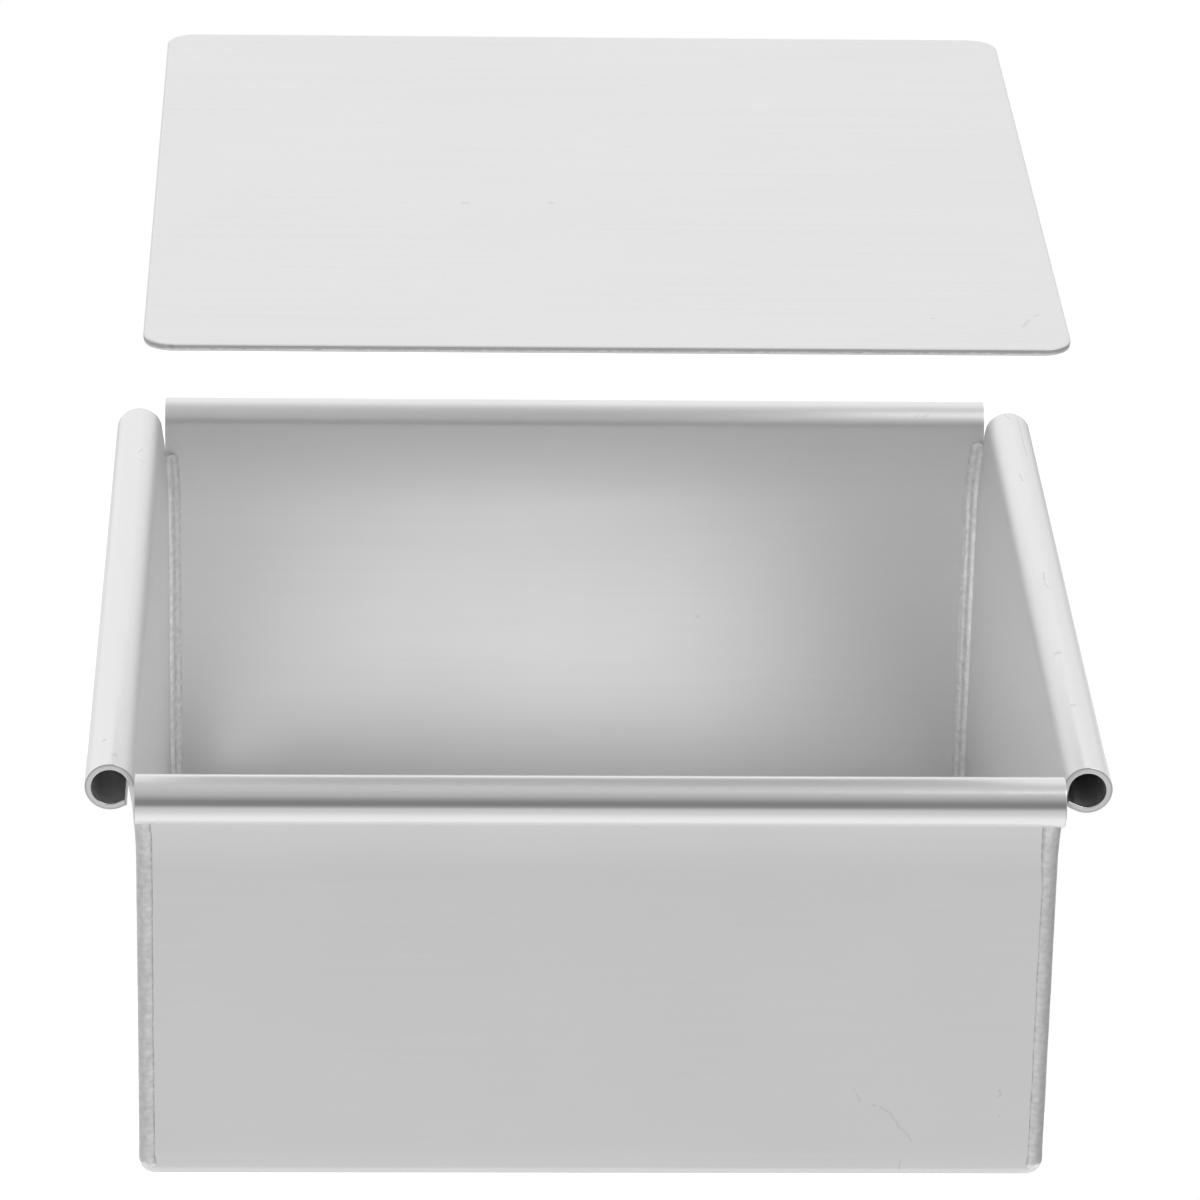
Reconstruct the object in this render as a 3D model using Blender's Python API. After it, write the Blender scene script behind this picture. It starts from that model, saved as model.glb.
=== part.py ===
"""Square cake pan: four sheet walls with rolled rims, four corner welds and a loose base.

Metres, +Z up. The origin is on the table under the middle of the pan, +X to the right and +Y to the back.
"""
import math

import bmesh
import bpy

# Sheet walls
INNER_SIDE = 0.1524         # inside, from wall to wall
HEIGHT = 0.0780             # from the table to the top of the rim
SHEET = 0.0011              # thickness of the wall sheet
BEND_RADIUS = 0.0020        # outside radius of the bend from wall to flange
FLANGE = 0.0080             # ledge for the base, from the wall's inner face inwards

# Rolled rim. The wall leans out in a long curve under it, which runs on into the roll
ROLL_SIZE = 0.0084          # outside diameter
ROLL_OFFSET = 0.0012        # from the plane of the wall to the inner side of the roll
ROLL_TURN = 295             # degrees that the sheet is rolled through, counted from upright
LEAN_ANGLE = 9              # degrees from upright where the leaning wall runs into the roll
CLOSED_LIP = 0.0016         # straight end of the sheet, which runs up to the wall
OPEN_LIP = 0.0008           # the same on the left wall, whose rim stays open by a narrow slit

# Corner welds
WELD_RADIUS = 0.0022        # rounded outside corner
WELD_LEG = 0.0020           # width of the inside bead along each wall
WELD_CROWN = 0.0003         # how far the inside bead stands out of the flat between its edges
WELD_TOP = 0.0690           # height of the weld's upper end
WELD_END = 0.0010           # length over which the upper end of the weld rounds off

# Loose base
BASE_THICKNESS = 0.0012
BASE_CLEARANCE = 0.0007     # from each edge of the base to the wall beside it
BASE_CORNER = 0.0050        # corner radius in plan
BASE_EDGE = 0.0002          # eased edge, top and bottom
BASE_LIFT = 0.1500          # how far above its seat the base is shown

# Clearance between pieces that touch
GAP = 0.0003

# Facets
ROLL_FACETS = 60            # for a full turn
BEND_FACETS = 8
LEAN_FACETS = 8             # for the stretch of wall that leans out
WELD_FACETS = 8             # for the rounded outside corner
BEAD_FACETS = 6             # across the inside bead
END_FACETS = 6              # for each rounded end of a weld
CORNER_FACETS = 12          # for each corner of the base

# Worked out from the sizes above, as distances from the middle of the pan
FACE_IN = INNER_SIDE / 2
FACE_OUT = FACE_IN + SHEET
ROLL_RADIUS = ROLL_SIZE / 2
ROLL_CENTRE = (FACE_IN + ROLL_OFFSET + ROLL_RADIUS, HEIGHT - ROLL_RADIUS)

# Heights, and how far the wall has leant out where the roll takes over
LEAN = math.radians(LEAN_ANGLE)
LEAN_OUT = ROLL_OFFSET + ROLL_RADIUS * (1 - math.cos(LEAN))
LEAN_TOP = ROLL_CENTRE[1] + ROLL_RADIUS * math.sin(LEAN)
LEAN_FOOT = LEAN_TOP - 2 * LEAN_OUT / math.tan(LEAN)
BASE_SEAT = SHEET + GAP


def clear_scene():
    """Remove every object that the file opened with."""
    for obj in list(bpy.data.objects):
        bpy.data.objects.remove(obj, do_unlink=True)


def aluminium(name, roughness):
    """Satin aluminium, one material for each piece."""
    material = bpy.data.materials.new(name)
    material.use_nodes = True
    shader = material.node_tree.nodes["Principled BSDF"]
    shader.inputs["Base Color"].default_value = (0.80, 0.80, 0.81, 1.0)
    shader.inputs["Metallic"].default_value = 1.0
    shader.inputs["Roughness"].default_value = roughness
    return material


def add_object(name, bm, material=None):
    """Turn a bmesh into an object with outward faces."""
    bmesh.ops.recalc_face_normals(bm, faces=bm.faces)
    mesh = bpy.data.meshes.new(name)
    bm.to_mesh(mesh)
    bm.free()
    obj = bpy.data.objects.new(name, mesh)
    bpy.context.collection.objects.link(obj)
    if material:
        mesh.materials.append(material)
    return obj


def smooth(obj):
    """Shade the rounds smooth and keep the cut edges sharp."""
    obj.data.shade_smooth()
    obj.data.set_sharp_from_angle(angle=math.radians(30))


def arc(centre, radii, start, sweep, facets):
    """Points on an ellipse, from the start angle through the sweep, in degrees."""
    points = []
    for step in range(facets + 1):
        angle = math.radians(start + sweep * step / facets)
        points.append((centre[0] + radii[0] * math.cos(angle), centre[1] + radii[1] * math.sin(angle)))
    return points


def lean_at(height):
    """How far a wall has leant out at a height: a parabola that ends at the slope of the roll."""
    share = min(max((height - LEAN_FOOT) / (LEAN_TOP - LEAN_FOOT), 0.0), 1.0)
    return LEAN_OUT * share * share


def lean_heights():
    """The heights of the facets' edges on the leaning stretch."""
    return [LEAN_FOOT + (LEAN_TOP - LEAN_FOOT) * step / LEAN_FACETS for step in range(LEAN_FACETS + 1)]


def sheet_sides(lip):
    """The two sides of a wall's sheet in section, as (distance from the middle, height, lean) points.

    Both lists run from the flange's edge, round the bend, up the wall, round the rim and along its lip.
    The lean is how far the walls beside this one have leant out there.
    """
    bend = (FACE_OUT - BEND_RADIUS, BEND_RADIUS)
    facets = math.ceil(ROLL_FACETS * ROLL_TURN / 360)
    heading = math.radians(90 - ROLL_TURN)
    sides = []
    for inset in (0.0, SHEET):
        plain = [(FACE_IN - FLANGE, inset)]
        plain += arc(bend, (BEND_RADIUS - inset, BEND_RADIUS - inset), -90, 90, BEND_FACETS)
        points = [(out, height, 0.0) for out, height in plain]
        for height in lean_heights()[:-1]:
            slope = math.atan(2 * lean_at(height) / max(height - LEAN_FOOT, GAP))
            out = FACE_IN + lean_at(height) + (SHEET - inset) * math.cos(slope)
            points.append((out, height - (SHEET - inset) * math.sin(slope), lean_at(height)))
        radius = ROLL_RADIUS - SHEET + inset
        rolled = arc(ROLL_CENTRE, (radius, radius), 180 - LEAN_ANGLE, LEAN_ANGLE - ROLL_TURN, facets)
        out, height = rolled[-1]
        rolled.append((out + lip * math.cos(heading), height + lip * math.sin(heading)))
        points += [(out, height, LEAN_OUT) for out, height in rolled]
        sides.append(points)
    return sides


def wall(name, half_length, end_lean, lip, turn):
    """One wall, bent and rolled from a flat blank, with the flange mitred at both ends.

    Its ends lean out by a share of the lean of the walls beside it.
    """
    mitre_setback = GAP / math.sqrt(2)
    bm = bmesh.new()
    ends = []
    for hand in (-1, 1):
        rows = []
        for side in sheet_sides(lip):
            row = []
            for out, height, lean in side:
                reach = half_length + end_lean * lean
                if height < BEND_RADIUS:
                    reach = min(half_length, out - mitre_setback)
                row.append(bm.verts.new((hand * reach, -out, height)))
            rows.append(row)
        ends.append(rows)
    (left_under, left_over), (right_under, right_over) = ends
    for i in range(len(left_under) - 1):
        bm.faces.new((left_under[i], left_under[i + 1], right_under[i + 1], right_under[i]))
        bm.faces.new((left_over[i], left_over[i + 1], right_over[i + 1], right_over[i]))
        bm.faces.new((left_under[i], left_under[i + 1], left_over[i + 1], left_over[i]))
        bm.faces.new((right_under[i], right_under[i + 1], right_over[i + 1], right_over[i]))
    for i in (0, -1):
        bm.faces.new((left_under[i], left_over[i], right_over[i], right_under[i]))
    obj = add_object(name, bm, aluminium(name + "_aluminium", 0.34))
    smooth(obj)
    obj.rotation_euler.z = math.radians(turn)
    return obj


def weld_plan(rounded, drawn_in=0.0):
    """Convex outline of the front right weld from above, anticlockwise, with its outer corner rounded or square.

    Round the bend at the foot of the walls the outside is drawn in by a distance.
    """
    outside = FACE_OUT - drawn_in
    centre = FACE_OUT - WELD_RADIUS
    radius = outside - centre
    if rounded:
        outline = arc((centre, -centre), (radius, radius), -90, 90, WELD_FACETS)
    else:
        outline = [(centre, -outside), (outside, -outside), (outside, -centre)]
    edge = min(FACE_IN, outside)
    width = WELD_LEG - 2 * (FACE_IN - edge)
    crown = WELD_CROWN / math.sqrt(2)
    for step in range(BEAD_FACETS + 1):
        along = step / BEAD_FACETS
        rise = crown * 4 * along * (1 - along)
        outline.append((edge - width * along - rise, width * (1 - along) - edge + rise))
    return outline


def grown(outline, distance):
    """A convex outline, drawn anticlockwise, moved outwards by a distance."""
    edges = []
    for i, (x, y) in enumerate(outline):
        next_x, next_y = outline[(i + 1) % len(outline)]
        length = math.hypot(next_x - x, next_y - y)
        normal = ((next_y - y) / length, (x - next_x) / length)
        edges.append((normal, normal[0] * x + normal[1] * y + distance))
    points = []
    for i, (normal, reach) in enumerate(edges):
        before, before_reach = edges[i - 1]
        cross = before[0] * normal[1] - before[1] * normal[0]
        x = (before_reach * normal[1] - reach * before[1]) / cross
        y = (reach * before[0] - before_reach * normal[0]) / cross
        points.append((x, y))
    return points


def moved_out(outline, height):
    """The front right weld's outline as a ring at a height, moved out with the leaning walls."""
    lean = lean_at(height)
    return [(x + lean, y - lean, height) for x, y in outline]


def stack(rings):
    """A closed skin through rings of points that all have the same count."""
    bm = bmesh.new()
    rows = [[bm.verts.new(point) for point in ring] for ring in rings]
    for low, high in zip(rows, rows[1:]):
        for i in range(len(low)):
            j = (i + 1) % len(low)
            bm.faces.new((low[i], low[j], high[j], high[i]))
    bm.faces.new(rows[0])
    bm.faces.new(rows[-1])
    return bm


def weld_rings():
    """The rings of the front right weld, whose foot follows the bend of the walls and whose top rounds off."""
    rings = []
    for step in range(1, END_FACETS + 1):
        angle = math.radians(90 * step / END_FACETS)
        height = BEND_RADIUS * (1 - math.cos(angle))
        drawn_in = BEND_RADIUS * (1 - math.sin(angle))
        rings.append(moved_out(weld_plan(rounded=True, drawn_in=drawn_in), height))
    outline = weld_plan(rounded=True)
    rings += [moved_out(outline, height) for height in lean_heights() if height < WELD_TOP - WELD_END]
    middle_x = sum(x for x, _ in outline) / len(outline)
    middle_y = sum(y for _, y in outline) / len(outline)
    for step in range(END_FACETS, 0, -1):
        angle = math.radians(90 * step / END_FACETS)
        height = WELD_TOP - WELD_END * (1 - math.cos(angle))
        scale = math.sin(angle)
        drawn = [(middle_x + (x - middle_x) * scale, middle_y + (y - middle_y) * scale) for x, y in outline]
        rings.append(moved_out(drawn, height))
    return rings


def corner_weld(name, turn):
    """A weld bead through the corner, from the table to just under the rim."""
    obj = add_object(name, stack(weld_rings()), aluminium(name + "_aluminium", 0.30))
    smooth(obj)
    obj.rotation_euler.z = math.radians(turn)
    return obj


def weld_cutter(name, turn):
    """The space that a weld takes out of the two walls it joins."""
    outline = grown(weld_plan(rounded=False), GAP)
    heights = [-BEND_RADIUS]
    heights += [height for height in lean_heights() if height < WELD_TOP]
    heights.append(WELD_TOP + GAP)
    obj = add_object(name, stack([moved_out(outline, height) for height in heights]))
    obj.rotation_euler.z = math.radians(turn)
    obj.display_type = "WIRE"
    obj.hide_render = True
    return obj


def cut(obj, cutter):
    """Take a cutter out of a piece."""
    boolean = obj.modifiers.new("cut_" + cutter.name, "BOOLEAN")
    boolean.operation = "DIFFERENCE"
    boolean.solver = "EXACT"
    boolean.object = cutter


def loose_base(name):
    """Flat sheet with rounded corners; its origin is in the middle of its underside."""
    half_side = FACE_IN - BASE_CLEARANCE
    centre = half_side - BASE_CORNER
    outline = []
    for quarter, (side_x, side_y) in enumerate(((1, 1), (-1, 1), (-1, -1), (1, -1))):
        corner = (side_x * centre, side_y * centre)
        outline += arc(corner, (BASE_CORNER, BASE_CORNER), 90 * quarter, 90, CORNER_FACETS)
    rings = [[(x, y, height) for x, y in outline] for height in (0.0, BASE_THICKNESS)]
    obj = add_object(name, stack(rings), aluminium(name + "_aluminium", 0.38))
    smooth(obj)
    ease = obj.modifiers.new("eased_edges", "BEVEL")
    ease.width = BASE_EDGE
    ease.segments = 2
    ease.limit_method = "ANGLE"
    obj.location.z = BASE_SEAT + BASE_LIFT
    return obj


def build():
    """Set the pieces of the pan in place."""
    clear_scene()
    across = FACE_OUT
    between = FACE_IN - GAP / math.cos(LEAN)
    walls = {
        "wall_front": wall("wall_front", across, 0, CLOSED_LIP, 0),
        "wall_right": wall("wall_right", between, 1, CLOSED_LIP, 90),
        "wall_back": wall("wall_back", across, 0, CLOSED_LIP, 180),
        "wall_left": wall("wall_left", between, 1, OPEN_LIP, 270),
    }
    corners = (
        ("front_right", 0, "wall_front", "wall_right"),
        ("back_right", 90, "wall_right", "wall_back"),
        ("back_left", 180, "wall_back", "wall_left"),
        ("front_left", 270, "wall_left", "wall_front"),
    )
    for corner, turn, first, second in corners:
        corner_weld("corner_weld_" + corner, turn)
        cutter = weld_cutter("weld_space_" + corner, turn)
        cut(walls[first], cutter)
        cut(walls[second], cutter)
    loose_base("loose_base")


build()
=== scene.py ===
"""Looks of the square cake pan: satin aluminium sheet, rolled rims, corner welds and a loose base.

Metres, +Z up. The origin is on the table under the middle of the pan, +X to the right and +Y to the back.
Every piece stands for one solid of the frame and keeps that solid's place.
"""
import math

import bmesh
import bpy
from mathutils import Matrix, Vector, noise


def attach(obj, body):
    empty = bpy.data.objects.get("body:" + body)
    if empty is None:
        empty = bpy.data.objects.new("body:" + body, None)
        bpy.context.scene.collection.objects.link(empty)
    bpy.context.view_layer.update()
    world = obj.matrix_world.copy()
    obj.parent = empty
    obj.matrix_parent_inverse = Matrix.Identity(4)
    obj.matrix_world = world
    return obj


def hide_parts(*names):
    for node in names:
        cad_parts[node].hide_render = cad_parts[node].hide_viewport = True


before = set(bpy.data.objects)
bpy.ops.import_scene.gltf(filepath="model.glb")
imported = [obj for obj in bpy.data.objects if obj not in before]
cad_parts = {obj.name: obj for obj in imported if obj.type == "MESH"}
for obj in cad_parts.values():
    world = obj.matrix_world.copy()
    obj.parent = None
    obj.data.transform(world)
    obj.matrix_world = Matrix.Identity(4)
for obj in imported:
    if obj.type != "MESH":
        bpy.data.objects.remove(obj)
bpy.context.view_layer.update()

# Sheet walls
INNER_SIDE = 0.1524
HEIGHT = 0.0780
SHEET = 0.0011
BEND_RADIUS = 0.0020
FLANGE = 0.0080
MITRE_SETBACK = 0.0002
WALL_STEPS = 48              # along each wall
WALL_WAVE = 0.00003          # how far the sheet wanders from true
WALL_WAVES = 22.0            # waves per metre
WAVE_ROOM = 0.00002          # the walls are drawn this much smaller, so that the waves stay in the solids
CUT_EASE = 0.00026           # rounded edge of cut sheet

# Rolled rim. The wall leans out in a long curve under it, which runs on into the roll
ROLL_SIZE = 0.0084
ROLL_OFFSET = 0.0012
ROLL_TURN = 295              # degrees
LEAN_ANGLE = 9
CLOSED_LIP = 0.0020          # straight end of the sheet, which touches the wall
OPEN_LIP = 0.0012
ROLL_FACETS = 120            # for a full turn
BACK_TRIM = 0.0004           # the back wall's left end is this much shorter above the weld

# Rim's finish: its outer side is rubbed smooth by the rolling, and it is dull in the hollow, which also
# carries painted shade
RUBBED = 0.18                # how much less rough than the wall
RUBBED_FROM = 0.0780         # distances from the middle of the pan
RUBBED_TO = 0.0812
HOLLOW_PAINTED_SHADE = 0.05          # painted shade that darkens its hollow, and how much rougher the hollow is
HOLLOW_DULL = 0.25
MOUTH = 0.0009               # how far the light reaches into the hollow, over which its painted shade grows to full
RING_SHADE = 0.07            # how much darker the faces of its cut ends are, and the painted shade round their outer edge
RING_EDGE_PAINTED_SHADE = 0.20
RING_DEEP = 0.00010          # how far in from a cut end its face's shade is gone, and where it is full
RING_FULL = 0.00004
DENTS = 4.0                  # faint dents in the rim, against the grain's depth

# Small marks, as (start, end, width) in millimetres
WALL_MARKS = (
    ((44.2, -77.3, 17.2), (44.6, -77.3, 16.9), 0.20),
    ((44.8, -77.3, 16.4), (45.5, -77.3, 14.9), 0.25),
    ((47.8, -77.3, 14.1), (48.0, -77.3, 14.1), 0.40),
    ((49.0, -77.3, 13.8), (50.7, -77.3, 12.6), 0.25),
    ((50.7, -77.3, 12.6), (52.4, -77.3, 9.9), 0.28),
    ((52.4, -77.3, 9.9), (54.0, -77.3, 8.3), 0.25),
    ((54.0, -77.3, 8.3), (54.5, -77.3, 7.1), 0.20),
    ((52.8, -77.3, 3.4), (52.6, -77.3, 1.6), 0.20),
    ((69.1, -77.3, 17.1), (69.6, -77.3, 16.2), 0.25),
    ((69.6, -77.3, 16.2), (69.0, -77.3, 15.7), 0.25),
    ((69.4, -77.3, 12.1), (69.4, -77.3, 11.9), 0.30),
    ((64.3, 78.4, 76.6), (64.8, 78.6, 76.8), 0.35),
    ((65.8, 78.4, 76.6), (66.6, 78.6, 76.8), 0.35),
    ((24.0, 76.2, 36.0), (24.2, 76.2, 36.0), 0.45),
)
SIDE_MARKS = (
    ((80.9, 76.1, 77.9), (81.6, 74.1, 78.0), 0.35),
    ((83.1, 74.0, 77.7), (83.3, 56.8, 77.6), 0.30),
    ((81.1, 47.8, 78.0), (81.5, 44.5, 78.0), 0.35),
    ((81.4, 3.0, 78.0), (81.2, -0.5, 78.0), 0.35),
    ((81.2, -1.4, 78.0), (81.6, -3.4, 78.0), 0.35),
    ((80.4, -31.0, 77.8), (81.0, -30.9, 78.0), 0.80),
    ((81.3, -52.5, 78.0), (81.4, -52.3, 78.0), 0.80),
    ((-80.9, -73.4, 77.9), (-80.8, -73.2, 77.9), 0.80),
    ((-82.9, -67.4, 77.8), (-82.8, -67.2, 77.8), 0.70),
    ((-80.4, 57.8, 77.8), (-81.1, 55.5, 78.0), 0.30),
    ((-81.2, 52.7, 78.0), (-79.9, 51.7, 77.6), 0.30),
)
BASE_MARKS = (
    ((-22.6, -10.4, 152.6), (-22.4, -10.4, 152.6), 1.00),
    ((-7.9, -10.0, 152.6), (-7.7, -10.0, 152.6), 0.80),
    ((68.2, -65.6, 152.6), (69.4, -62.8, 152.6), 0.50),
    ((70.6, -61.0, 152.6), (71.2, -60.2, 152.6), 0.40),
    ((53.6, -62.2, 152.6), (53.8, -62.2, 152.6), 0.45),
    ((-70.9, -75.4, 152.4), (-70.6, -75.6, 152.0), 0.50),
)
WELD_MARKS = (
    ((-76.4, -77.4, 66.6), (-76.4, -77.4, 66.4), 0.40),
    ((-75.1, -77.4, 66.2), (-75.1, -77.4, 66.0), 0.40),
    ((-76.6, -77.2, 16.0), (-76.6, -77.2, 15.8), 0.45),
    ((-75.6, -77.0, 1.7), (-75.5, -77.0, 1.4), 0.45),
    ((-74.7, -76.6, 0.7), (-74.4, -76.6, 0.5), 0.50),
    ((76.1, -76.8, 1.1), (76.1, -76.8, 0.8), 0.50),
    ((75.3, -76.6, 0.5), (75.6, -76.6, 0.4), 0.45),
)
MARK_SHADE = 0.10            # how much darker a mark is

# Corner welds
WELD_RADIUS = 0.0022
WELD_LEG = 0.0023            # the inside bead's reach along each wall
WELD_RIDGE = 0.00012         # it has two ridges with a groove between them
WELD_TOP = 0.0690
WELD_PROUD = 0.00010         # how far the outside bead stands off the sheet
WELD_TOE = 0.00042           # from the start of the round to the bead's edge
WELD_COVER = 0.0002          # how far the sheet runs in under the outside bead, from its axis
WELD_LEVELS = 320            # steps up a bead
WELD_END_LOW = 0.0030        # height over which each end is rounded
WELD_END_HIGH = 0.0014
WELD_LUMPS = 0.00030         # how uneven its surface is
WELD_WANDER = 0.0006         # how far its edges wander
WELD_SPREADS = 0.014         # how far down from its top it can widen
RIPPLE_PITCH = 0.0012
RIPPLE_HEIGHT = 0.00005
RIPPLE_BOW = 0.55            # how far a ripple hangs back at the bead's edges, in pitches
RIPPLE_WOBBLE = 1.6          # how far the ripples stray from an even spacing, in pitches
DROP_MIDDLE = 0.0024         # height of the drop that the bead begins with at the foot
DROP_PROUD = 0.00012         # how far the drop stands out
DROP_FLARE = 2.5             # how much wider it is than proud
DROP_FROM = 0.0022           # heights between which the drop's shine goes over into the bead's
DROP_TO = 0.0030
DROP_SHINE = 0.18            # how much less rough the drop is
TOE_PAINTED_SHADE = (0.08, 0.27)     # painted shade in the valley along its toes, where it is weak and strong

# Loose base
BASE_THICKNESS = 0.0012
BASE_CLEARANCE = 0.0007
BASE_CORNER = 0.0050
BASE_LIFT = 0.1500
GAP = 0.0003
EDGE_PAINTED_SHADE = 0.28            # painted shade on its sheared edge, and how much rougher that edge is
EDGE_DULL = 0.25
BREAK_LIFT = 0.00022         # how ragged the break in that edge is, up and down and in and out
BREAK_DRAW = 0.00005

# Distances from the middle of the pan
FACE_IN = INNER_SIDE / 2
FACE_OUT = FACE_IN + SHEET
WELD_AXIS = FACE_OUT - WELD_RADIUS
ROLL_RADIUS = ROLL_SIZE / 2
ROLL_CENTRE = (FACE_IN + ROLL_OFFSET + ROLL_RADIUS, HEIGHT - ROLL_RADIUS)
BASE_BOTTOM = GAP + SHEET + BASE_LIFT

# The lean: how far out it ends, and the heights between which it runs
LEAN = math.radians(LEAN_ANGLE)
LEAN_OUT = ROLL_OFFSET + ROLL_RADIUS * (1 - math.cos(LEAN))
LEAN_TOP = ROLL_CENTRE[1] + ROLL_RADIUS * math.sin(LEAN)
LEAN_FOOT = LEAN_TOP - 2 * LEAN_OUT / math.tan(LEAN)

# Camera: a long lens, above the front of the pan and a little to the left
CAMERA_PLACE = (-0.0401, -1.0675, 0.5540)
CAMERA_YAW = 2.28
CAMERA_PITCH = 24.21
CAMERA_ROLL = -1.20
CAMERA_LENS = 198.1
CAMERA_SENSOR = 36.0

# Light levels, where 1 is white. The sky's go by the angle from the dim side of the room, in degrees
DIM_SIDE = (0.0, -1.0, 0.12)
SKY = ((0, 0.20), (12, 0.20), (24, 0.33), (38, 0.46), (60, 0.52), (90, 0.59), (120, 0.90), (180, 0.90))
LOW_FRONT = 0.655            # what lies below the horizon on each side, and straight down
LOW_BACK = 0.63
LOW_LEFT = 0.46
LOW_RIGHT = 0.33
LOW_DOWN = 0.93
LOW_FROM = -0.02             # how far down the sky reaches, and where the low levels are full
LOW_TO = -0.34
STEEP_FROM = -0.45           # where it begins to count as straight down
STEEP_TO = -0.97
SIDE_DIM = 0.22              # how much dimmer it is low down behind the pan on the right
SIDE = (0.05, 0.35)          # where that begins and where it is full, to the right, down and to the back
SIDE_DOWN = (0.25, -0.25)
SIDE_BACK = (0.0, 0.5)
SIDE_ABOVE = 0.25            # the share of it that is left higher up
WHITE_FROM = 0.80            # where the mirrored white begins, as a share of the turn from the dim side
PAINTED_POOL = 0.83            # painted pool of light on the table, the light that comes up through the open bottom
# the painted pool's level at its front
PAINTED_POOL_FRONT = 0.68
PAINTED_SHADE_INSIDE = 0.31          # painted shade on the table inside the pan, along its walls
PAINTED_CORNER_LIGHT = 0.34          # and painted light that its back left corner has more
TABLE_OUTSIDE = 0.58
PAINTED_FEET_LIGHT = 0.08            # and painted light that it has more under the feet of the front welds
TABLE_SHOWN = 0.40           # what the camera sees more of, so that the table is as white as the backdrop
TABLE_PAINT = 0.34

# Where the parts of the table's painted light and shade fade, from the middle of the pan. The painted pool's
# left edge runs aslant
POOL_LEFT = (-0.086, -0.032)
POOL_RIGHT = (0.024, 0.062)
POOL_BACK = (0.018, 0.062)
POOL_FRONT = (-0.060, 0.000)
POOL_SLANT = 0.5
CORNER_SIDE = (-0.078, -0.050)
CORNER_BACK = (0.020, 0.045)
FEET_SIDE = (FACE_OUT - 0.0040, FACE_OUT - 0.0015)

# One soft lamp, high on the right
LAMP_PLACE = (0.9, -0.5, 1.5)
LAMP_TARGET = (0.0, 0.0, 0.05)
LAMP_SIZE = 0.9
LAMP_POWER = 6.0


# Node trees

class Tree:
    """Adds nodes to a node tree and joins their sockets."""

    def __init__(self, tree):
        self.tree = tree

    def node(self, kind, inputs=(), **settings):
        """Add a node. Each input is a value, or a socket to link from."""
        node = self.tree.nodes.new(kind)
        for name, value in settings.items():
            setattr(node, name, value)
        for key, value in dict(inputs).items():
            if isinstance(value, bpy.types.NodeSocket):
                self.tree.links.new(value, node.inputs[key])
            else:
                node.inputs[key].default_value = value
        return node

    def math(self, operation, first, second=0.0, clamp=False):
        """One Math node's result."""
        inputs = {0: first, 1: second}
        return self.node("ShaderNodeMath", inputs, operation=operation, use_clamp=clamp).outputs[0]

    def vector(self, operation, first, second=(0.0, 0.0, 0.0), scale=1.0):
        """One Vector Math node's result, a vector."""
        inputs = {0: first, 1: second}
        if operation == "SCALE":
            inputs = {0: first, "Scale": scale}
        return self.node("ShaderNodeVectorMath", inputs, operation=operation).outputs[0]

    def noise(self, vector, scale, detail=2.0, w=None, roughness=0.5, output=0):
        """Noise over a vector, as its value or as its colour."""
        inputs = {"Vector": vector, "Scale": scale, "Detail": detail, "Roughness": roughness}
        if w is not None:
            inputs["W"] = w
        dimensions = "3D" if w is None else "4D"
        return self.node("ShaderNodeTexNoise", inputs, noise_dimensions=dimensions).outputs[output]

    def spread(self, value, from_low, from_high, to_low, to_high, smooth=False):
        """A Map Range node's result."""
        inputs = {0: value, 1: from_low, 2: from_high, 3: to_low, 4: to_high}
        kind = "SMOOTHSTEP" if smooth else "LINEAR"
        return self.node("ShaderNodeMapRange", inputs, interpolation_type=kind).outputs[0]


def geometry_tree(name, sockets):
    """A geometry tree with a Geometry input, named inputs and a Geometry output."""
    group = bpy.data.node_groups.new(name, "GeometryNodeTree")
    group.interface.new_socket(name="Geometry", in_out="OUTPUT", socket_type="NodeSocketGeometry")
    group.interface.new_socket(name="Geometry", in_out="INPUT", socket_type="NodeSocketGeometry")
    for socket_name, kind in sockets:
        group.interface.new_socket(name=socket_name, in_out="INPUT", socket_type="NodeSocket" + kind)
    tree = Tree(group)
    return tree, tree.node("NodeGroupInput").outputs


def close_tree(tree, geometry, material):
    """End a geometry tree as real faces that carry the material."""
    real = tree.node("GeometryNodeRealizeInstances", {0: geometry}).outputs[0]
    smooth = tree.node("GeometryNodeSetShadeSmooth", {0: real}).outputs[0]
    painted = tree.node("GeometryNodeSetMaterial", {"Geometry": smooth, "Material": material}).outputs[0]
    tree.node("NodeGroupOutput", {0: painted})
    return tree.tree


def named(tree, kind, name):
    """An attribute that the section carries along the sweep."""
    return tree.node("GeometryNodeInputNamedAttribute", {"Name": name}, data_type=kind).outputs["Attribute"]


def sweep(tree, geometry, path, caps):
    """Sweep a section along a path."""
    profile = tree.node("GeometryNodeMeshToCurve", {"Mesh": geometry}).outputs[0]
    inputs = {"Curve": path, "Profile Curve": profile, "Fill Caps": caps}
    return tree.node("GeometryNodeCurveToMesh", inputs).outputs[0]


def straight_path(tree, start, end, count):
    """A straight path with a number of evenly spaced points."""
    line = tree.node("GeometryNodeCurvePrimitiveLine", {"Start": start, "End": end}).outputs[0]
    return tree.node("GeometryNodeResampleCurve", {"Curve": line, "Count": count}).outputs[0]


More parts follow.
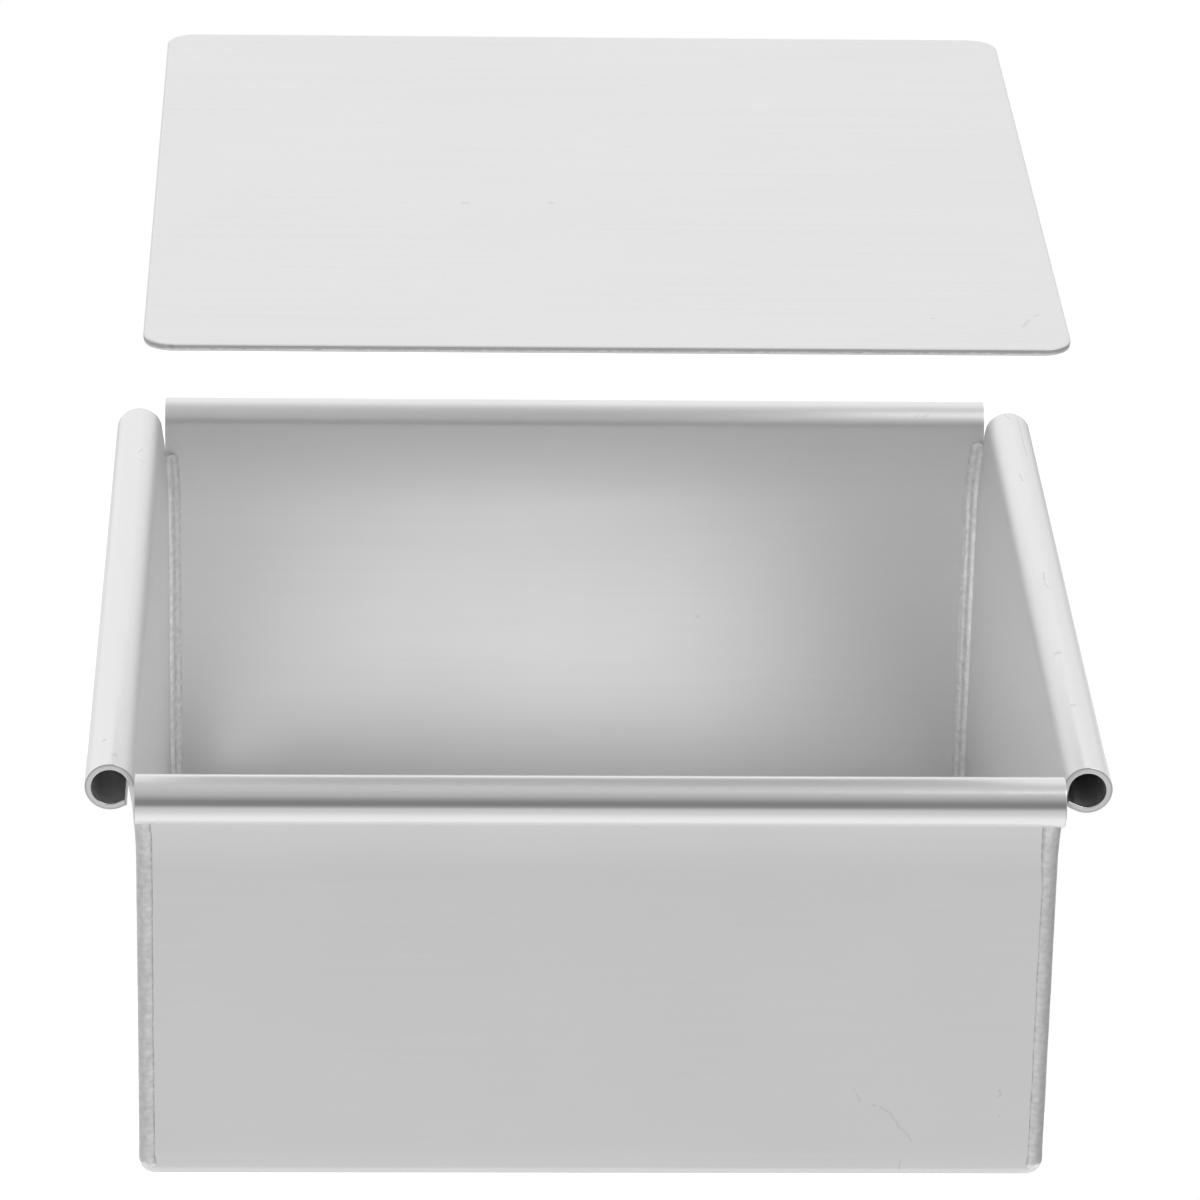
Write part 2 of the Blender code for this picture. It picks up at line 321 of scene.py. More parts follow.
def sheet_tree():
    """Sweeps a wall's section along the wall, out to the reach that each point of the section carries.

    The points beside a weld also carry a stop, where the sheet ends short of its reach, and the points
    above it a trim, by which one end is shorter.
    """
    sockets = (("Steps", "Int"), ("Wave height", "Float"), ("Waves per metre", "Float"),
               ("Seed", "Float"), ("Material", "Material"))
    tree, given = geometry_tree("swept_sheet", sockets)
    path = straight_path(tree, (-1, 0, 0), (1, 0, 0), given["Steps"])
    sheet = sweep(tree, given["Geometry"], path, False)
    at = tree.node("ShaderNodeSeparateXYZ", {0: tree.node("GeometryNodeInputPosition").outputs[0]}).outputs
    shorter = tree.math("MULTIPLY", tree.math("ADD", at["X"], 1.0), named(tree, "FLOAT", "trim"))
    along = tree.math("MULTIPLY", at["X"], named(tree, "FLOAT", "reach"))
    along = tree.math("SUBTRACT", along, tree.math("MULTIPLY", shorter, 0.5))
    stop = named(tree, "FLOAT", "stop")
    along = tree.math("MAXIMUM", tree.math("MINIMUM", along, stop), tree.math("MULTIPLY", stop, -1.0))
    spot = tree.node("ShaderNodeCombineXYZ", {"X": along, "Y": at["Y"], "Z": at["Z"]}).outputs[0]
    wander = tree.noise(spot, given["Waves per metre"], 1.0, given["Seed"], output=1)
    wander = tree.vector("SUBTRACT", wander, (0.5, 0.5, 0.5))
    wander = tree.vector("SCALE", wander, scale=given["Wave height"])
    inputs = {"Geometry": sheet, "Position": spot, "Offset": wander}
    shaped = tree.node("GeometryNodeSetPosition", inputs).outputs[0]
    return close_tree(tree, shaped, given["Material"])


def rounded_end(tree, from_end, length):
    """How a bead rounds off near an end: the shift along the bead and the scale across it."""
    share = tree.math("DIVIDE", from_end, length, clamp=True)
    angle = tree.math("MULTIPLY", share, math.pi / 2)
    drop = tree.math("SUBTRACT", 1.0, tree.math("COSINE", angle))
    shift = tree.math("MULTIPLY", tree.math("SUBTRACT", drop, share), length)
    return shift, tree.math("SINE", angle)


def ripples(tree, height, given):
    """Crescent ripples up the bead, with valleys sharper than crests."""
    across = named(tree, "FLOAT", "across")
    bow = tree.math("MULTIPLY", tree.math("MULTIPLY", across, across), -RIPPLE_BOW)
    level = tree.node("ShaderNodeCombineXYZ", {"Z": height}).outputs[0]
    wobble = tree.math("MULTIPLY", tree.noise(level, 260.0, 1.0, given["Seed"]), RIPPLE_WOBBLE)
    phase = tree.math("DIVIDE", height, given["Ripple pitch"])
    phase = tree.math("ADD", tree.math("ADD", phase, bow), wobble)
    crest = tree.math("ABSOLUTE", tree.math("SINE", tree.math("MULTIPLY", phase, math.pi)))
    depth = tree.math("MULTIPLY", named(tree, "FLOAT", "rippled"), given["Ripple height"])
    return tree.math("MULTIPLY", tree.math("SUBTRACT", crest, 0.6), depth)


def bead_tree():
    """Sweeps a weld's section up the corner, with ripples, a wandering edge and rounded ends."""
    sockets = (("Height", "Float"), ("Levels", "Int"), ("Lower end", "Float"), ("Upper end", "Float"),
               ("Ripple pitch", "Float"), ("Ripple height", "Float"), ("Unevenness", "Float"),
               ("Edge wander", "Float"), ("Upper flare", "Float"), ("Foot drop", "Float"), ("Seed", "Float"),
               ("Material", "Material"))
    tree, given = geometry_tree("corner_bead", sockets)
    top = tree.node("ShaderNodeCombineXYZ", {"Z": given["Height"]}).outputs[0]
    path = straight_path(tree, (0, 0, 0), top, given["Levels"])
    bead = sweep(tree, given["Geometry"], path, True)
    place = tree.node("GeometryNodeInputPosition").outputs[0]
    at = tree.node("ShaderNodeSeparateXYZ", {0: place}).outputs
    low_shift, low_scale = rounded_end(tree, at["Z"], given["Lower end"])
    from_top = tree.math("SUBTRACT", given["Height"], at["Z"])
    high_shift, high_scale = rounded_end(tree, from_top, given["Upper end"])
    height = tree.math("ADD", at["Z"], tree.math("SUBTRACT", low_shift, high_shift))
    scale = tree.math("MAXIMUM", tree.math("MULTIPLY", low_scale, high_scale), 0.03)
    drawn_out = tree.vector("MULTIPLY", place, (1.0, 1.0, 0.3))
    lumps = tree.math("SUBTRACT", tree.noise(drawn_out, 650.0, 2.0, given["Seed"]), 0.5)
    relief = tree.math("MULTIPLY", lumps, given["Unevenness"])
    relief = tree.math("ADD", relief, ripples(tree, height, given))
    from_drop = tree.math("ABSOLUTE", tree.math("SUBTRACT", height, DROP_MIDDLE))
    drop = tree.spread(from_drop, 0.0, DROP_MIDDLE, given["Foot drop"], 0.0, smooth=True)
    relief = tree.math("ADD", relief, drop)
    pushed = tree.vector("SCALE", named(tree, "FLOAT_VECTOR", "push"), scale=relief)
    level = tree.node("ShaderNodeCombineXYZ", {"Z": height}).outputs[0]
    drift = tree.math("SUBTRACT", tree.noise(level, 120.0, 2.0, given["Seed"]), 0.5)
    drift = tree.math("MULTIPLY", drift, given["Edge wander"])
    flare = tree.spread(from_top, 0.0, WELD_SPREADS, given["Upper flare"], 0.0, smooth=True)
    flare = tree.math("ADD", flare, tree.math("MULTIPLY", drop, DROP_FLARE))
    edge = tree.vector("SCALE", named(tree, "FLOAT_VECTOR", "edge"), scale=tree.math("ADD", drift, flare))
    plan = tree.vector("ADD", tree.vector("ADD", place, pushed), edge)
    plan = tree.node("ShaderNodeSeparateXYZ", {0: plan}).outputs
    leant = tree.math("DIVIDE", tree.math("SUBTRACT", height, LEAN_FOOT), LEAN_TOP - LEAN_FOOT, clamp=True)
    leant = tree.math("MULTIPLY", tree.math("MULTIPLY", leant, leant), LEAN_OUT)
    x = tree.math("ADD", tree.math("MULTIPLY", plan["X"], scale), leant)
    y = tree.math("SUBTRACT", tree.math("MULTIPLY", plan["Y"], scale), leant)
    spot = tree.node("ShaderNodeCombineXYZ", {"X": x, "Y": y, "Z": height}).outputs[0]
    shaped = tree.node("GeometryNodeSetPosition", {"Geometry": bead, "Position": spot}).outputs[0]
    return close_tree(tree, shaped, given["Material"])


def grow(section, group, values, finish=()):
    """Run a tree on a section and keep the result as a plain mesh, finished by further modifiers."""
    modifier = section.modifiers.new("form", "NODES")
    modifier.node_group = group
    for item in group.interface.items_tree:
        if item.item_type == "SOCKET" and item.in_out == "INPUT" and item.name in values:
            modifier[item.identifier] = values[item.name]
    for kind, settings in finish:
        extra = section.modifiers.new(kind.lower(), kind)
        for name, value in settings.items():
            setattr(extra, name, value)
    graph = bpy.context.evaluated_depsgraph_get()
    mesh = bpy.data.meshes.new_from_object(section.evaluated_get(graph), depsgraph=graph)
    bpy.data.objects.remove(section, do_unlink=True)
    return mesh


def section_object(points, closed, attributes):
    """A section as an object of vertices and edges, with a value at each vertex."""
    count = len(points)
    edges = [(i, i + 1) for i in range(count - 1)]
    if closed:
        edges.append((count - 1, 0))
    mesh = bpy.data.meshes.new("section")
    mesh.from_pydata([(x, y, 0.0) for x, y in points], edges, [])
    for name, kind, values in attributes:
        attribute = mesh.attributes.new(name, kind, "POINT")
        for item, value in zip(attribute.data, values):
            if kind == "FLOAT":
                item.value = value
            else:
                item.vector = value
    section = bpy.data.objects.new("section", mesh)
    bpy.context.collection.objects.link(section)
    return section


def outward(mesh):
    """Turn a closed mesh's faces outwards."""
    bm = bmesh.new()
    bm.from_mesh(mesh)
    bmesh.ops.recalc_face_normals(bm, faces=bm.faces)
    bm.to_mesh(mesh)
    bm.free()


def piece(name, mesh, body, node):
    """Hang a finished mesh on its body, in the place of its solid."""
    mesh.name = name
    obj = bpy.data.objects.new(name, mesh)
    bpy.context.scene.collection.objects.link(obj)
    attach(obj, body)
    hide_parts(node)


# Shapes

def arc(centre, radius, start, sweep_angle, facets):
    """Points on a circle, from the start angle through the sweep, in degrees."""
    points = []
    for step in range(facets + 1):
        angle = math.radians(start + sweep_angle * step / facets)
        points.append((centre[0] + radius * math.cos(angle), centre[1] + radius * math.sin(angle)))
    return points


def lean_at(height):
    """How far a wall has leant out at a height: a parabola that ends at the slope of the roll."""
    share = min(max((height - LEAN_FOOT) / (LEAN_TOP - LEAN_FOOT), 0.0), 1.0)
    return LEAN_OUT * share * share


def sheet_middle(lip):
    """The middle of a wall's sheet in section, from flange to lip, as (distance out, height, lean).

    The lean is how far the walls beside this one have leant out there.
    """
    half = SHEET / 2
    bend = (FACE_OUT - BEND_RADIUS, BEND_RADIUS)
    plain = [(FACE_IN - FLANGE, half), (FACE_IN - FLANGE / 2, half)]
    plain += arc(bend, BEND_RADIUS - half, -90, 90, 10)
    rises = 14
    for step in range(1, rises):
        plain.append((FACE_OUT - half, BEND_RADIUS + (LEAN_FOOT - BEND_RADIUS) * step / rises))
    points = [(out, height, 0.0) for out, height in plain]
    leans = 24
    for step in range(leans):
        height = LEAN_FOOT + (LEAN_TOP - LEAN_FOOT) * step / leans
        lean = lean_at(height)
        slope = math.atan(2 * lean / max(height - LEAN_FOOT, GAP))
        points.append((FACE_IN + lean + half * math.cos(slope), height - half * math.sin(slope), lean))
    facets = math.ceil(ROLL_FACETS * ROLL_TURN / 360)
    rolled = arc(ROLL_CENTRE, ROLL_RADIUS - half, 180 - LEAN_ANGLE, LEAN_ANGLE - ROLL_TURN, facets)
    heading = math.radians(90 - ROLL_TURN)
    out, height = rolled[-1]
    for share in (0.5, 1.0):
        rolled.append((out + share * lip * math.cos(heading), height + share * lip * math.sin(heading)))
    return points + [(out, height, LEAN_OUT) for out, height in rolled]


def wall_sheet(half_length, end_lean, lip, trim, turn, seed, group, material):
    """One wall: flange, bend, face and rolled rim from one sheet.

    Its ends lean out by a share of the lean of the walls beside it, and the trim shortens one of them
    above the weld.
    """
    middle = sheet_middle(lip)
    reaches, stops, trims = [], [], []
    for out, height, lean in middle:
        reach = half_length + end_lean * lean
        if height < BEND_RADIUS:
            reach = min(half_length, out - MITRE_SETBACK)
        reaches.append(reach)
        welded = height <= WELD_TOP - WELD_END_HIGH
        stops.append(WELD_AXIS + WELD_COVER + lean if welded else reach)
        trims.append(0.0 if welded else trim)
    attributes = [("reach", "FLOAT", reaches), ("stop", "FLOAT", stops), ("trim", "FLOAT", trims)]
    section = section_object([(out, -height) for out, height, _ in middle], False, attributes)
    values = {"Steps": WALL_STEPS, "Wave height": WALL_WAVE, "Waves per metre": WALL_WAVES,
              "Seed": seed, "Material": material}
    thick = ("SOLIDIFY", {"thickness": SHEET, "offset": 0.0, "use_even_offset": True})
    eased = ("BEVEL", {"width": CUT_EASE, "segments": 3, "limit_method": "ANGLE",
                       "angle_limit": math.radians(40), "harden_normals": True})
    mesh = grow(section, group, values, (thick, eased))
    mesh.transform(Matrix.Translation((0, 0, WAVE_ROOM)) @ Matrix.Scale(1 - WAVE_ROOM / FACE_IN, 4))
    mesh.transform(Matrix.Rotation(math.radians(turn), 4, "Z"))
    return mesh


def bead_section():
    """The front right weld in plan, about the axis of its rounded corner.

    Each point says how far unevenness pushes it, how far a wandering edge moves it, where it lies
    across the bead, from -1 to 1, how rippled it is and how much painted shade it carries as part of the
    toe.
    """
    points, push, edge, across, rippled, toes = [], [], [], [], [], []

    def add(x, y, pushed, moved, share, ripple=1.0, toe_line=0.0):
        points.append((x, y))
        push.append((pushed[0], pushed[1], 0.0))
        edge.append((moved[0], moved[1], 0.0))
        across.append(share)
        rippled.append(ripple)
        toes.append(toe_line)

    # Outside. A toe's points: share of its width, distance from the axis, push, edge and painted shade
    radius = WELD_RADIUS + WELD_PROUD
    buried = WELD_RADIUS - 0.0003
    toe = ((-1.25, buried, 0.0, 1.0, 1.0), (-1.0, WELD_RADIUS, 0.0, 1.0, 1.0),
           (-0.85, WELD_RADIUS + 0.00005, 0.3, 0.9, 1.0), (-0.6, WELD_RADIUS + 0.00008, 0.35, 0.6, 0.7),
           (-0.3, radius - 0.00001, 0.4, 0.3, 0.0))
    for share, depth, weight, moved, line in toe:
        add(WELD_TOE * share, -depth, (0.0, -weight), (-moved, 0.0), -1.0, toe_line=line)
    facets = 20
    for step in range(facets + 1):
        angle = math.radians(-90 + 90 * step / facets)
        x, y = math.cos(angle), math.sin(angle)
        add(radius * x, radius * y, (0.45 * x, 0.45 * y), (0.0, 0.0), -0.9 + 1.8 * step / facets)
    for share, depth, weight, moved, line in reversed(toe):
        add(depth, -WELD_TOE * share, (weight, 0.0), (0.0, moved), 1.0, toe_line=line)

    # Inside, from one wall to the other
    inner = FACE_IN - WELD_AXIS
    facets = 24
    for step in range(facets + 1):
        along = step / facets
        ridges = (1 - math.cos(4 * math.pi * along)) / 2
        rise = (0.0001 * 4 * along * (1 - along) + WELD_RIDGE * ridges) / math.sqrt(2)
        bury = 0.0002 if step in (0, facets) else 0.0
        x = inner - WELD_LEG * along - rise + bury * (1 - along)
        y = WELD_LEG * (1 - along) - inner + rise - bury * along
        weight = 0.55 * min(1.0, 6 * along * (1 - along))
        # painted shade at the inside bead's two edges, where it meets the walls
        line = 0.2 if step < 2 or step > facets - 2 else 0.0
        add(x, y, (-weight, weight), (0.0, 0.0), 2 * along - 1, ripple=0.25, toe_line=line)
    attributes = [("push", "FLOAT_VECTOR", push), ("edge", "FLOAT_VECTOR", edge),
                  ("across", "FLOAT", across), ("rippled", "FLOAT", rippled), ("toe", "FLOAT", toes)]
    return points, attributes


def bead_mesh(turn, values, group):
    """A weld bead in its corner."""
    points, attributes = bead_section()
    mesh = grow(section_object(points, True, attributes), group, values)
    mesh.transform(Matrix.Translation((WELD_AXIS, -WELD_AXIS, 0.0)))
    mesh.transform(Matrix.Rotation(math.radians(turn), 4, "Z"))
    return mesh


def base_outline():
    """The base in plan at its full size, as (x, y, outward x, outward y), anticlockwise."""
    half_side = FACE_IN - BASE_CLEARANCE
    centre = half_side - BASE_CORNER
    straight_steps = 140
    corner_steps = 16
    outline = []
    for quarter, (side_x, side_y) in enumerate(((1, 1), (-1, 1), (-1, -1), (1, -1))):
        for step in range(corner_steps):
            angle = math.radians(90 * quarter + 90 * step / corner_steps)
            x, y = math.cos(angle), math.sin(angle)
            outline.append((side_x * centre + BASE_CORNER * x, side_y * centre + BASE_CORNER * y, x, y))
        angle = math.radians(90 * (quarter + 1))
        x, y = math.cos(angle), math.sin(angle)
        for step in range(straight_steps):
            along = 2 * centre * step / straight_steps - centre
            outline.append((half_side * x - along * y, half_side * y + along * x, x, y))
    return outline


def base_rings():
    """The base's edge in section, from its top to its underside, as (inset, height, ragged)."""
    rings = [(0.0045, BASE_THICKNESS, 0.0), (0.0012, BASE_THICKNESS, 0.0)]
    roll_in, roll_down, steps = 0.00042, 0.00026, 7
    for step in range(steps + 1):
        angle = math.radians(90 * step / steps)
        height = BASE_THICKNESS - roll_down * (1 - math.cos(angle))
        rings.append((roll_in * (1 - math.sin(angle)), height, 0.0))
    rings += [(0.0, 0.00062, 1.0), (0.00001, 0.00052, 1.0), (0.00005, 0.00030, 0.6), (0.00008, 0.00010, 0.4),
              (0.00012, 0.0, 0.0), (0.00040, 0.0, 0.0), (0.0045, 0.0, 0.0)]
    return rings


def base_mesh():
    """The loose base, with the rounded and the broken part of its sheared edge."""
    bm = bmesh.new()
    outline = base_outline()
    rows = []
    for inset, height, ragged in base_rings():
        row = []
        for x, y, out_x, out_y in outline:
            spot = Vector((x, y, height)) * 900
            lift = ragged * BREAK_LIFT * noise.noise(spot)
            draw = inset + ragged * BREAK_DRAW * noise.noise(spot * 2.3 + Vector((7, 3, 1)))
            place = (x - out_x * draw, y - out_y * draw, BASE_BOTTOM + height + lift)
            row.append(bm.verts.new(place))
        rows.append(row)
    count = len(outline)
    for upper, lower in zip(rows, rows[1:]):
        for i in range(count):
            j = (i + 1) % count
            bm.faces.new((upper[i], lower[i], lower[j], upper[j]))
    bm.faces.new(rows[0])
    bm.faces.new(reversed(rows[-1]))
    bmesh.ops.recalc_face_normals(bm, faces=bm.faces)
    mesh = bpy.data.meshes.new("base")
    bm.to_mesh(mesh)
    bm.free()
    mesh.shade_smooth()
    mesh.set_sharp_from_angle(angle=math.radians(50))
    return mesh


# Materials

def mix_colour(tree, factor, first, second):
    """A colour between two."""
    node = tree.node("ShaderNodeMix", data_type="RGBA")
    sockets = {"Factor_Float": factor, "A_Color": first, "B_Color": second}
    for socket in node.inputs:
        if socket.identifier in sockets:
            value = sockets[socket.identifier]
            if isinstance(value, bpy.types.NodeSocket):
                tree.tree.links.new(value, socket)
            else:
                socket.default_value = value
    return next(s for s in node.outputs if s.identifier == "Result_Color")


def near_line(tree, place, start, end, width):
    """1 along a line in space, and fading to 0 at a distance from it. The numbers are in millimetres."""
    start = Vector(start) / 1000
    along = Vector(end) / 1000 - start
    from_start = tree.vector("SUBTRACT", place, tuple(start))
    inputs = {0: from_start, 1: tuple(along / along.length_squared)}
    share = tree.node("ShaderNodeVectorMath", inputs, operation="DOT_PRODUCT").outputs["Value"]
    share = tree.math("ADD", share, 0.0, clamp=True)
    nearest = tree.vector("SCALE", tuple(along), scale=share)
    aside = tree.vector("SUBTRACT", from_start, nearest)
    distance = tree.node("ShaderNodeVectorMath", {0: aside}, operation="LENGTH").outputs["Value"]
    return tree.spread(distance, 0.0003 * width, 0.001 * width, 1.0, 0.0, smooth=True)


def marked(tree, place, marks):
    """1 on every mark and 0 between them."""
    shade = 0.0
    for start, end, width in marks:
        shade = tree.math("MAXIMUM", shade, near_line(tree, place, start, end, width))
    return shade


def from_roll(tree, at, across):
    """Distance from the middle of a rolled rim. The named axis lies across the rim."""
    out = tree.math("SUBTRACT", tree.math("ABSOLUTE", at[across]), ROLL_CENTRE[0])
    up = tree.math("SUBTRACT", at["Z"], ROLL_CENTRE[1])
    square = tree.math("ADD", tree.math("MULTIPLY", out, out), tree.math("MULTIPLY", up, up))
    return tree.math("SQRT", square)


def wall_finish(axes, ring):
    """How a wall differs from plain sheet. The axes lie across its rim and along it.

    The outer side of the rim is shinier and faintly dented from the rolling. The cut ends, which lie at
    the ring's distance, are darker, with painted shade round their outer edge, and the hollow is duller and
    carries painted shade.
    """
    across, along = axes

    def finish(tree, place, at, shade, shine, height):
        out = tree.math("ABSOLUTE", at[across])
        end = tree.math("ABSOLUTE", at[along])
        rubbed = tree.spread(out, RUBBED_FROM, RUBBED_TO, 0.0, 1.0, smooth=True)
        shine = tree.math("SUBTRACT", shine, tree.math("MULTIPLY", rubbed, RUBBED))
        dents = tree.math("MULTIPLY", tree.noise(place, 170.0, 1.0), DENTS)
        height = tree.math("ADD", height, tree.math("MULTIPLY", dents, rubbed))
        distance = from_roll(tree, at, across)
        face = tree.spread(end, ring - RING_DEEP, ring - RING_FULL, 0.0, 1.0)
        # painted shade round the outer edge of each cut end's face
        outer = tree.spread(distance, ROLL_RADIUS - 0.0005, ROLL_RADIUS - 0.0003, 0.0, RING_EDGE_PAINTED_SHADE)
        outer = tree.math("MULTIPLY", outer, tree.math("LESS_THAN", distance, ROLL_RADIUS + 0.0001))
        dark = tree.math("MULTIPLY", face, tree.math("ADD", outer, RING_SHADE))
        shade = tree.math("ADD", shade, dark)
        bore = ROLL_RADIUS - SHEET
        # painted shade deep in the hollow, which is also rougher
        hollow = tree.spread(distance, bore + 0.00003, bore + 0.00015, 1.0, 0.0)
        deep = tree.spread(end, ring - MOUTH, ring, 1.0, 0.0, smooth=True)
        hollow = tree.math("MULTIPLY", hollow, deep)
        shade = tree.math("ADD", shade, tree.math("MULTIPLY", hollow, HOLLOW_PAINTED_SHADE))
        shine = tree.math("ADD", shine, tree.math("MULTIPLY", hollow, HOLLOW_DULL))
        return shade, shine, height

    return finish


def weld_finish(tree, place, at, shade, shine, height):
    """A weld has a broken line of painted shade in the valley along its toes, and a shiny drop at its foot.
    """
    # painted shade along the toes, broken by noise
    toe = tree.node("ShaderNodeAttribute", attribute_name="toe").outputs["Fac"]
    broken = tree.spread(tree.noise(place, 800.0, 2.0), 0.35, 0.65, *TOE_PAINTED_SHADE)
    shine = tree.math("SUBTRACT", shine, tree.spread(at["Z"], DROP_FROM, DROP_TO, DROP_SHINE, 0.0))
    return tree.math("ADD", shade, tree.math("MULTIPLY", toe, broken)), shine, height


def base_finish(tree, place, at, shade, shine, height):
    """The base's edge is sheared: rough all round, and with painted shade down to a ragged break near the
    underside.
    """
    top = BASE_BOTTOM + BASE_THICKNESS
    edge = tree.spread(at["Z"], top - 0.00004, top - 0.00001, 1.0, 0.0)
    shine = tree.math("ADD", shine, tree.math("MULTIPLY", edge, EDGE_DULL))
    ragged = tree.math("MULTIPLY", tree.math("SUBTRACT", tree.noise(place, 900.0, 2.0), 0.5), 0.0007)
    level = tree.math("ADD", at["Z"], ragged)
    # painted shade on the burnished band of the edge, down to its ragged break
    sheared = tree.spread(level, BASE_BOTTOM + 0.00036, BASE_BOTTOM + 0.00052, 0.0, EDGE_PAINTED_SHADE)
    below_roll = tree.spread(at["Z"], top - 0.00030, top - 0.00012, 1.0, 0.0)
    return tree.math("ADD", shade, tree.math("MULTIPLY", sheared, below_roll)), shine, height


def aluminium(name, grain, roughness, bright=0.905, cloud_size=34.0, cloud_depth=0.01, grain_depth=0.02,
              line_depth=0.03, relief=0.000004, marks=(), finish=None):
    """Satin aluminium: rolling grain along one axis, faint clouds, a fine tooth and a few marks."""
    material = bpy.data.materials.new(name)
    material.use_nodes = True
    tree = Tree(material.node_tree)
    shader = material.node_tree.nodes["Principled BSDF"]
    shader.inputs["Metallic"].default_value = 1.0
    place = tree.node("ShaderNodeTexCoord").outputs["Object"]
    at = tree.node("ShaderNodeSeparateXYZ", {0: place}).outputs
    stretched = tree.node("ShaderNodeMapping", {"Vector": place, "Scale": grain}).outputs[0]
    lines = tree.noise(stretched, 1.0, 3.0, roughness=0.6)
    clouds = tree.noise(place, cloud_size, 3.0)
    tooth = tree.noise(place, 2600.0, 2.0)
    cloudy = tree.spread(clouds, 0.3, 0.7, 0.0, cloud_depth)
    grainy = tree.spread(tree.math("ADD", lines, tooth), 0.7, 1.3, 0.0, grain_depth)
    scars = tree.math("MULTIPLY", marked(tree, place, marks), MARK_SHADE)
    shade = tree.math("ADD", tree.math("ADD", cloudy, grainy), scars)
    shine = tree.spread(lines, 0.25, 0.75, roughness - line_depth / 2, roughness + line_depth / 2)
    shine = tree.math("ADD", shine, tree.spread(clouds, 0.3, 0.7, -0.01, 0.01))
    height = tree.math("ADD", tree.math("MULTIPLY", lines, 0.6), tree.math("MULTIPLY", tooth, 0.4))
    if finish:
        shade, shine, height = finish(tree, place, at, shade, shine, height)
    colour = mix_colour(tree, shade, (bright, bright, bright, 1.0), (0.0, 0.0, 0.0, 1.0))
    tree.tree.links.new(colour, shader.inputs["Base Color"])
    tree.tree.links.new(shine, shader.inputs["Roughness"])
    bump = tree.node("ShaderNodeBump", {"Height": height, "Strength": 1.0, "Distance": relief}).outputs[0]
    tree.tree.links.new(bump, shader.inputs["Normal"])
    return material


# Studio

def sky_light(tree, direction):
    """The light above the horizon, and the angle from the dim side that it goes by, from 0 to 1."""
    dim_side = Vector(DIM_SIDE).normalized()
    facing = tree.node("ShaderNodeVectorMath", {0: direction, 1: dim_side}, operation="DOT_PRODUCT")
    turned = tree.math("DIVIDE", tree.math("ARCCOSINE", facing.outputs["Value"]), math.pi)
    ramp = tree.node("ShaderNodeValToRGB", {0: turned})
    stops = ramp.color_ramp.elements
    while len(stops) < len(SKY):
        stops.new(0.5)
    for stop, (angle, level) in zip(stops, SKY):
        stop.position = angle / 180
        stop.color = (level, level, level, 1.0)
    return ramp.outputs[0], turned


def low_light(tree, at):
    """The light below the horizon, blended from the four sides, and brighter straight down."""
    square_x = tree.math("MULTIPLY", at["X"], at["X"])
    square_y = tree.math("MULTIPLY", at["Y"], at["Y"])
    flat = tree.math("SQRT", tree.math("ADD", square_x, square_y))
    flat = tree.math("MAXIMUM", flat, 0.001)
    total = 0.0
    for axis, high_level, low_level in (("X", LOW_RIGHT, LOW_LEFT), ("Y", LOW_BACK, LOW_FRONT)):
        share = tree.math("DIVIDE", at[axis], flat)
        level = tree.spread(share, -0.001, 0.001, low_level, high_level)
        total = tree.math("ADD", total, tree.math("MULTIPLY", tree.math("MULTIPLY", share, share), level))
    steep = tree.spread(at["Z"], STEEP_FROM, STEEP_TO, 0.0, 1.0, smooth=True)
    kept = tree.math("MULTIPLY", total, tree.math("SUBTRACT", 1.0, steep))
    return tree.math("ADD", kept, tree.math("MULTIPLY", steep, LOW_DOWN))


def studio_light():
    """White behind everything. The metal mirrors that white too, and on the camera's side a dimmer room."""
    world = bpy.data.worlds.new("studio")
    bpy.context.scene.world = world
    world.use_nodes = True
    world.node_tree.nodes.clear()
    tree = Tree(world.node_tree)
    direction = tree.node("ShaderNodeTexCoord").outputs["Generated"]
    at = tree.node("ShaderNodeSeparateXYZ", {0: direction}).outputs
    sky, turned = sky_light(tree, direction)
    below = tree.spread(at["Z"], LOW_FROM, LOW_TO, 0.0, 1.0, smooth=True)
    low = tree.math("MULTIPLY", below, low_light(tree, at))
    level = tree.math("ADD", low, tree.math("MULTIPLY", tree.math("SUBTRACT", 1.0, below), sky))
    aside = tree.spread(at["X"], *SIDE, 0.0, SIDE_DIM, smooth=True)
    aside = tree.math("MULTIPLY", aside, tree.spread(at["Z"], *SIDE_DOWN, SIDE_ABOVE, 1.0, smooth=True))
    aside = tree.math("MULTIPLY", aside, tree.spread(at["Y"], *SIDE_BACK, 0.0, 1.0, smooth=True))
    level = tree.math("MULTIPLY", level, tree.math("SUBTRACT", 1.0, aside))
    room = tree.node("ShaderNodeBackground", {"Color": level, "Strength": 1.0}).outputs[0]
    white = tree.node("ShaderNodeBackground", {"Color": (1, 1, 1, 1), "Strength": 1.0}).outputs[0]
    rays = tree.node("ShaderNodeLightPath").outputs
    behind = tree.spread(turned, WHITE_FROM, 1.0, 0.0, 1.0, smooth=True)
    behind = tree.math("MULTIPLY", behind, tree.math("SUBTRACT", 1.0, below))
    behind = tree.math("MULTIPLY", behind, tree.spread(at["X"], *SIDE, 1.0, 0.0, smooth=True))
    mirrored = tree.math("ADD", rays["Is Glossy Ray"], rays["Is Transmission Ray"])
    shown = tree.math("MAXIMUM", rays["Is Camera Ray"], tree.math("MULTIPLY", mirrored, behind))
    mixed = tree.node("ShaderNodeMixShader", {0: shown, 1: room, 2: white}).outputs[0]
    tree.node("ShaderNodeOutputWorld", {"Surface": mixed})


